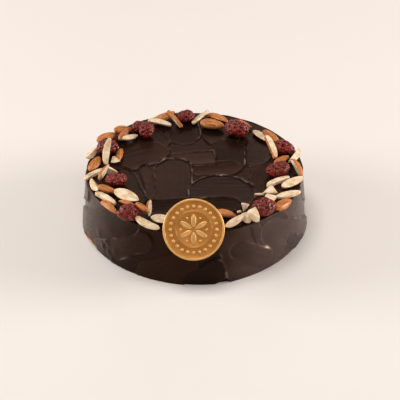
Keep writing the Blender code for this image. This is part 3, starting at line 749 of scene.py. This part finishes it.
def speckle(tree, place, scale, detail=3.0, roughness=0.55):
    """Cloudy noise over a place."""
    cloud = tree.nodes.new("ShaderNodeTexNoise")
    cloud.inputs["Scale"].default_value = scale
    cloud.inputs["Detail"].default_value = detail
    cloud.inputs["Roughness"].default_value = roughness
    tree.links.new(place, cloud.inputs["Vector"])
    return cloud.outputs["Fac"]


def ramp(tree, value, stops):
    """Colours along a value; each stop is a place and a colour."""
    colours = tree.nodes.new("ShaderNodeValToRGB")
    elements = colours.color_ramp.elements
    while len(elements) < len(stops):
        elements.new(0.5)
    for element, (where, colour) in zip(elements, stops):
        element.position = where
        element.color = (*colour, 1.0)
    tree.links.new(value, colours.inputs["Fac"])
    return colours.outputs["Color"]


def spread(tree, value, low, high, to_low, to_high):
    """A value's range laid on another range."""
    mapper = tree.nodes.new("ShaderNodeMapRange")
    mapper.inputs["From Min"].default_value = low
    mapper.inputs["From Max"].default_value = high
    mapper.inputs["To Min"].default_value = to_low
    mapper.inputs["To Max"].default_value = to_high
    tree.links.new(value, mapper.inputs["Value"])
    return mapper.outputs["Result"]


def arithmetic(tree, operation, first, second):
    """Two values added, multiplied or the like; the second may be a plain number."""
    worked = tree.nodes.new("ShaderNodeMath")
    worked.operation = operation
    tree.links.new(first, worked.inputs[0])
    if isinstance(second, float):
        worked.inputs[1].default_value = second
    else:
        tree.links.new(second, worked.inputs[1])
    return worked.outputs["Value"]


def blend(tree, share, first, second):
    """Two colours mixed by a share; either may be a plain colour."""
    mixer = tree.nodes.new("ShaderNodeMix")
    mixer.data_type = "RGBA"
    tree.links.new(share, mixer.inputs["Factor"])
    for socket, colour in ((mixer.inputs["A"], first), (mixer.inputs["B"], second)):
        if isinstance(colour, tuple):
            socket.default_value = (*colour, 1.0)
        else:
            tree.links.new(colour, socket)
    return mixer.outputs["Result"]


def bump(tree, height, distance, strength, below=None):
    """A bump from a height, laid over another bump where there is one."""
    bumps = tree.nodes.new("ShaderNodeBump")
    bumps.inputs["Distance"].default_value = distance
    bumps.inputs["Strength"].default_value = strength
    tree.links.new(height, bumps.inputs["Height"])
    if below is not None:
        tree.links.new(below, bumps.inputs["Normal"])
    return bumps.outputs["Normal"]


def ganache_material():
    """Dark satin ganache: faint knife streaks, soft blotches, painted highlight on the lips, painted sheen
    towards the left and right of the side, and a patch of bare sponge.
    """
    material, tree, shader = new_material("ganache_coat")
    place = object_place(tree)
    streak = attribute(tree, "streak", "Vector")
    ridge = attribute(tree, "ridge")
    sponge = attribute(tree, "sponge")
    bloom = attribute(tree, "bloom")
    tone = attribute(tree, "tone")
    drawn = speckle(tree, stretched(tree, streak, (0.035, 0.45, 0.4)), 1.0, 3.0, 0.5)
    blotch = speckle(tree, place, 55.0, 3.0)
    fine = speckle(tree, place, 900.0, 2.0)
    patchy = spread(tree, speckle(tree, place, 90.0, 3.0), 0.40, 0.62, 0.05, 1.0)
    shade = arithmetic(tree, "ADD", arithmetic(tree, "MULTIPLY", blotch, 0.6),
                       arithmetic(tree, "MULTIPLY", tone, 0.4))
    dark = ramp(tree, shade, ((0.30, (0.0085, 0.0034, 0.0022)), (0.70, (0.0190, 0.0074, 0.0044))))
    lip = arithmetic(tree, "MULTIPLY", spread(tree, ridge, 0.30, 1.0, 0.0, 1.0), patchy)
    # Painted sheen: the side's colour turns a pale grey-brown towards the left and right
    painted_sheen_colour = blend(tree, arithmetic(tree, "MULTIPLY", bloom, spread(tree, shade, 0.25, 0.75, 0.4, 1.0)),
                  dark, (0.085, 0.057, 0.049))
    # Painted highlight: the knife's lips are coloured paler, and paler still where the side has painted
    # sheen
    crest = blend(tree, bloom, (0.115, 0.084, 0.073), (0.190, 0.145, 0.125))
    coat = blend(tree, lip, painted_sheen_colour, crest)
    crumb = ramp(tree, speckle(tree, place, 700.0, 4.0, 0.7),
                 ((0.35, (0.060, 0.020, 0.010)), (0.65, (0.290, 0.110, 0.060))))
    tree.links.new(blend(tree, sponge, coat, crumb), shader.inputs["Base Color"])
    smooth = arithmetic(tree, "SUBTRACT", spread(tree, drawn, 0.3, 0.7, 0.24, 0.32),
                        arithmetic(tree, "MULTIPLY", lip, 0.12))
    satin = arithmetic(tree, "ADD", smooth, arithmetic(tree, "MULTIPLY", sponge, 0.4))
    tree.links.new(satin, shader.inputs["Roughness"])
    tree.links.new(spread(tree, lip, 0.0, 0.8, 0.13, 1.0), shader.inputs["Specular IOR Level"])
    shader.inputs["Specular Tint"].default_value = (1.0, 0.55, 0.38, 1.0)
    grain = bump(tree, fine, 0.00012, 0.25)
    tree.links.new(bump(tree, drawn, 0.00008, 0.5, grain), shader.inputs["Normal"])
    return material


def medallion_material():
    """Caramel-brown chocolate brushed with gold: gilding and painted highlight on the raised forms, painted
    shade on their lower slopes.
    """
    material, tree, shader = new_material("gilt_chocolate")
    place = object_place(tree)
    raised = attribute(tree, "raised")
    cloud = speckle(tree, place, 160.0, 3.0)
    fine = speckle(tree, place, 1500.0, 2.0)
    floor = ramp(tree, cloud, ((0.30, (0.52, 0.205, 0.036)), (0.70, (0.69, 0.290, 0.056))))
    # Painted shade on the lower slopes of the raised forms
    shaded = blend(tree, spread(tree, raised, 0.02, 0.35, 0.0, 0.75), floor, (0.27, 0.090, 0.014))
    # Gold on the raised forms: partly real gilding and partly painted highlight
    gilt_and_highlight = blend(tree, spread(tree, raised, 0.35, 0.85, 0.0, 1.0), shaded, (0.82, 0.455, 0.140))
    tree.links.new(gilt_and_highlight, shader.inputs["Base Color"])
    tree.links.new(spread(tree, fine, 0.3, 0.7, 0.34, 0.48), shader.inputs["Roughness"])
    shader.inputs["Metallic"].default_value = 0.45
    tree.links.new(bump(tree, fine, 0.00010, 0.3), shader.inputs["Normal"])
    return material


def flesh_colour(tree, grain):
    """Ivory almond flesh with faint tan clouds and streaks."""
    cloud = speckle(tree, grain, 0.22, 4.0)
    fibre = speckle(tree, stretched(tree, grain, (0.12, 0.7, 0.7)), 1.0, 3.0)
    ivory = ramp(tree, cloud, ((0.28, (0.52, 0.325, 0.160)), (0.46, (0.78, 0.575, 0.360)),
                               (0.66, (0.91, 0.760, 0.570))))
    return blend(tree, spread(tree, fibre, 0.5, 0.75, 0.0, 0.5), ivory, (0.62, 0.37, 0.17))


def flesh_material():
    """A peeled almond."""
    material, tree, shader = new_material("almond_flesh")
    grain = attribute(tree, "grain", "Vector")
    tree.links.new(flesh_colour(tree, grain), shader.inputs["Base Color"])
    pores = speckle(tree, grain, 2.6, 4.0, 0.65)
    tree.links.new(spread(tree, pores, 0.3, 0.7, 0.45, 0.62), shader.inputs["Roughness"])
    shader.inputs["Subsurface Weight"].default_value = 0.12
    shader.inputs["Subsurface Radius"].default_value = (0.0016, 0.0010, 0.0005)
    tree.links.new(bump(tree, pores, 0.00025, 0.6), shader.inputs["Normal"])
    return material


def skin_material():
    """A brown almond: a ridged skin with darker lines along it, and pale flesh where it is cut."""
    material, tree, shader = new_material("almond_skin")
    grain = attribute(tree, "grain", "Vector")
    cut = attribute(tree, "cut")
    lines = speckle(tree, stretched(tree, grain, (0.10, 1.1, 1.1)), 1.0, 4.0, 0.6)
    dust = speckle(tree, grain, 0.5, 3.0)
    brown = ramp(tree, lines, ((0.30, (0.150, 0.032, 0.006)), (0.48, (0.400, 0.110, 0.018)),
                               (0.68, (0.680, 0.250, 0.048))))
    dusty = blend(tree, spread(tree, dust, 0.45, 0.75, 0.0, 0.6), brown, (0.72, 0.31, 0.075))
    ragged = arithmetic(tree, "ADD", cut, arithmetic(tree, "MULTIPLY", speckle(tree, grain, 2.2), 0.35))
    bare = spread(tree, ragged, 0.62, 0.74, 0.0, 1.0)
    tree.links.new(blend(tree, bare, dusty, flesh_colour(tree, grain)), shader.inputs["Base Color"])
    tree.links.new(spread(tree, lines, 0.3, 0.7, 0.52, 0.34), shader.inputs["Roughness"])
    tree.links.new(bump(tree, lines, 0.00030, 0.8), shader.inputs["Normal"])
    return material


def berry_material():
    """Dried berry: painted shade nearly black in the hollows; deep red and glossy on the drupelets, with
    pale frost and painted glints on their tops.
    """
    material, tree, shader = new_material("dried_berry")
    place = object_place(tree)
    top = attribute(tree, "grain_top")
    cloud = speckle(tree, place, 260.0, 3.0)
    frost = speckle(tree, place, 1100.0, 3.0, 0.65)
    ripe = ramp(tree, cloud, ((0.30, (0.055, 0.0034, 0.0020)), (0.70, (0.235, 0.0140, 0.0060))))
    # Painted shade: the hollows between the drupelets are coloured nearly black
    flesh = blend(tree, spread(tree, top, 0.12, 0.60, 0.0, 1.0), (0.014, 0.0016, 0.0012), ripe)
    # Pale pink on the drupelets' tops: partly real frost and partly painted glints
    frost_and_glints = arithmetic(tree, "MULTIPLY", spread(tree, frost, 0.54, 0.68, 0.0, 0.65),
                        spread(tree, top, 0.3, 0.9, 0.0, 1.0))
    tree.links.new(blend(tree, frost_and_glints, flesh, (0.50, 0.140, 0.075)), shader.inputs["Base Color"])
    tree.links.new(spread(tree, frost, 0.35, 0.65, 0.20, 0.42), shader.inputs["Roughness"])
    shader.inputs["Specular IOR Level"].default_value = 0.22
    shader.inputs["Coat Weight"].default_value = 0.20
    shader.inputs["Coat Roughness"].default_value = 0.15
    tree.links.new(bump(tree, frost, 0.00025, 0.8), shader.inputs["Normal"])
    return material


def build_stage():
    """A plain pale floor."""
    bm = bmesh.new()
    bmesh.ops.create_grid(bm, x_segments=1, y_segments=1, size=FLOOR_SIZE)
    mesh = bpy.data.meshes.new("floor")
    bm.to_mesh(mesh)
    bm.free()
    material, tree, shader = new_material("pale_floor")
    cloud = speckle(tree, object_place(tree), 3.0)
    tree.links.new(ramp(tree, cloud, ((0.3, (0.790, 0.745, 0.700)), (0.7, (0.810, 0.765, 0.720)))),
                   shader.inputs["Base Color"])
    shader.inputs["Roughness"].default_value = 0.7
    mesh.materials.append(material)
    floor = bpy.data.objects.new("floor", mesh)
    bpy.context.scene.collection.objects.link(floor)


def add_softbox(name, place, width, height, power, colour):
    """A broad soft light that looks at the cake."""
    light = bpy.data.lights.new(name, "AREA")
    light.shape = "RECTANGLE"
    light.size = width
    light.size_y = height
    light.energy = power
    light.color = colour
    lamp = bpy.data.objects.new(name, light)
    lamp.location = place
    lamp.rotation_euler = (LIGHT_AIM - Vector(place)).to_track_quat("-Z", "Y").to_euler()
    bpy.context.scene.collection.objects.link(lamp)


def build_light():
    """Dim even surroundings, a broad light overhead, weak ones behind and in front, and low side windows."""
    world = bpy.data.worlds.new("surroundings")
    world.use_nodes = True
    sky = world.node_tree.nodes["Background"]
    sky.inputs["Color"].default_value = (1.0, 0.88, 0.80, 1.0)
    sky.inputs["Strength"].default_value = 0.22
    bpy.context.scene.world = world
    add_softbox("overhead", (-0.3, 0.0, 1.9), 0.8, 0.8, 16.0, (1.0, 0.98, 0.96))
    add_softbox("behind", (0.0, 1.8, 0.9), 1.2, 0.7, 3.2, (1.0, 0.70, 0.56))
    add_softbox("front_fill", (0.2, -1.3, 1.7), 0.5, 0.5, 4.0, (1.0, 0.97, 0.94))
    add_softbox("right_window", (1.6, 0.1, 0.5), 1.0, 0.7, 27.0, (1.0, 0.97, 0.95))
    add_softbox("left_window", (-1.6, 0.15, 0.5), 1.0, 0.7, 22.0, (1.0, 0.98, 0.96))


def build_camera():
    """The photograph's camera: square on to the front, from a little above."""
    toward = Vector((0, -math.cos(CAMERA_ELEVATION), math.sin(CAMERA_ELEVATION)))
    up = Vector((0, math.sin(CAMERA_ELEVATION), math.cos(CAMERA_ELEVATION)))
    right = Vector((1, 0, 0))
    metres_per_pixel = CAMERA_DISTANCE / FOCAL_PIXELS
    across = (PICTURE_PIXELS / 2 - TARGET_PIXEL[0]) * metres_per_pixel
    above = (TARGET_PIXEL[1] - PICTURE_PIXELS / 2) * metres_per_pixel
    lens = bpy.data.cameras.new("camera")
    lens.sensor_width = SENSOR_WIDTH
    lens.lens = FOCAL_PIXELS / PICTURE_PIXELS * SENSOR_WIDTH
    camera = bpy.data.objects.new("camera", lens)
    camera.location = CAMERA_TARGET + toward * CAMERA_DISTANCE
    aim = CAMERA_TARGET + right * across + up * above
    camera.rotation_euler = (aim - camera.location).to_track_quat("-Z", "Y").to_euler()
    bpy.context.scene.collection.objects.link(camera)
    bpy.context.scene.camera = camera


def main():
    """Dress the whole cake."""
    skin = skin_material()
    flesh = flesh_material()
    coat = build_ganache(ganache_material())
    build_medallion(medallion_material())
    for number in range(1, ALMOND_COUNT + 1):
        build_almond(number, skin, flesh)
    fruit = berry_material()
    for number in range(1, BERRY_COUNT + 1):
        build_berry(number, fruit)
    build_crumbs(coat, flesh)
    build_stage()
    build_light()
    build_camera()
    bpy.context.scene.view_settings.view_transform = "Standard"


main()
